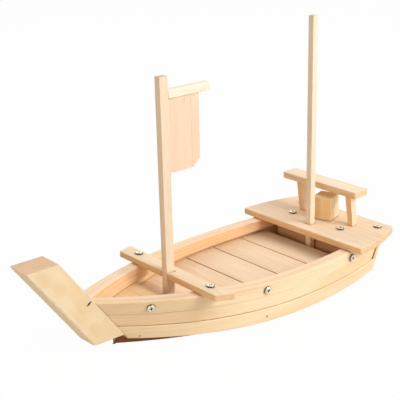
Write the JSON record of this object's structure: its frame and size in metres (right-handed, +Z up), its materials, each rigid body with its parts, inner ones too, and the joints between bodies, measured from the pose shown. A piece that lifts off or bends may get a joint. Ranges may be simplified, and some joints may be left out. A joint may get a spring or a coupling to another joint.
{
  "type": "wooden sushi boat",
  "caption": "Wooden serving boat for sushi with a planked hull, slatted deck, raked stem post, crossbeam, lift-out masts, a board sail, and a stern deck with a bench and a swivelling block.",
  "frame": {"origin": "middle of the bounding box at the table's height, under the bottom board", "axes": "+X to the stern, -X to the bow, +Y to starboard, +Z up"},
  "size_m": [0.5001, 0.2092, 0.3331],
  "materials": {
    "pale_pine": "sanded pine",
    "stem_pine": "sanded pine",
    "pink_pine": "sanded pine",
    "shade_pine": "sanded pine",
    "dark_pine": "sanded pine",
    "screw_steel": "bright steel"
  },
  "bodies": {
    "hull": {"bench_bar": "pale_pine", "bench_leg_port": "pale_pine", "bench_leg_starboard": "pale_pine", "block_pivot_screw": "screw_steel", "bottom_board": "shade_pine", "bow_deck": "pale_pine", "bow_deck_aft_batten": "shade_pine", "bow_deck_fore_batten": "shade_pine", "crossbeam": "pale_pine", "crossbeam_screw_port": "screw_steel", "crossbeam_screw_starboard": "screw_steel", "front_mast_step": "shade_pine", "port_deck_ledger": "shade_pine", "port_inwale": "pale_pine", "port_lower_strake": "pale_pine", "port_middle_strake": "pale_pine", "port_nail_1": "screw_steel", "port_nail_2": "screw_steel", "port_side_screw_1": "screw_steel", "port_side_screw_2": "screw_steel", "port_side_screw_3": "screw_steel", "port_top_strake": "pale_pine", "serving_slat_1": "pale_pine", "serving_slat_2": "pale_pine", "serving_slat_3": "pale_pine", "serving_slat_4": "pale_pine", "serving_slat_5": "pale_pine", "starboard_deck_ledger": "shade_pine", "starboard_inwale": "pale_pine", "starboard_lower_strake": "pale_pine", "starboard_middle_strake": "pale_pine", "starboard_nail_1": "screw_steel", "starboard_nail_2": "screw_steel", "starboard_side_screw_1": "screw_steel", "starboard_side_screw_2": "screw_steel", "starboard_side_screw_3": "screw_steel", "starboard_top_strake": "pale_pine", "stem_post": "stem_pine", "stern_bulkhead": "shade_pine", "stern_deck": "pale_pine", "stern_deck_screw_aft_port": "screw_steel", "stern_deck_screw_aft_starboard": "screw_steel", "stern_deck_screw_front_port": "screw_steel", "stern_deck_screw_front_starboard": "screw_steel", "stern_mast_step": "shade_pine", "transom": "pale_pine"},
    "front_rig": {"front_mast": "pale_pine", "yard": "pale_pine", "sail": "pink_pine"},
    "stern_mast": {"stern_mast": "pale_pine"},
    "stern_block": {"stern_block": "dark_pine"}
  },
  "joints": [
    {"name": "front_mast_lift", "type": "slide", "parent": "hull", "child": "front_rig", "axis": [0, 0, 1], "range_m": [0, 0.055]},
    {"name": "stern_mast_lift", "type": "slide", "parent": "hull", "child": "stern_mast", "axis": [0, 0, 1], "range_m": [0, 0.055]},
    {"name": "stern_block_swivel", "type": "hinge", "parent": "hull", "child": "stern_block", "pos_m": [0.21497, 0, 0.062], "axis": [-0.0244, 0, 0.9997], "continuous": true}
  ]
}
